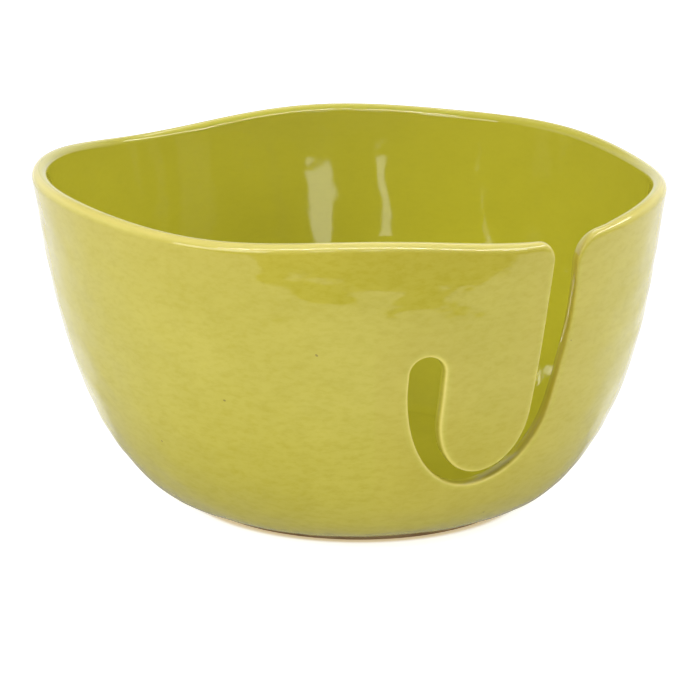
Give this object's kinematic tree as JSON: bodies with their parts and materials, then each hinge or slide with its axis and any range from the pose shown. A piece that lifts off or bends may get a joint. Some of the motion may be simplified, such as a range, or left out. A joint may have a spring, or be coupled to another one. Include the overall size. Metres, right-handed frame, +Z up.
{
  "type": "yarn bowl",
  "caption": "Hand-formed glazed ceramic bowl with a wavy rounded rim, a bare clay foot ring and a J-shaped slot through its wall that guides and holds knitting yarn.",
  "frame": {"origin": "on the surface the bowl stands on, under the middle of the rim", "axes": "+Z up, -Y out through the slotted front wall, +X to the right seen from the front, so the slot's entry is at +X and its hook at -X"},
  "size_m": [0.1584, 0.1588, 0.0867],
  "materials": {
    "fired_clay": "matte",
    "glaze_outside": "gloss",
    "glaze_inside": "gloss"
  },
  "bodies": {
    "root": {"clay_body": "fired_clay", "foot_ring": "fired_clay", "outer_glaze": "glaze_outside", "inner_glaze": "glaze_inside", "base_glaze": "glaze_outside"}
  },
  "joints": []
}
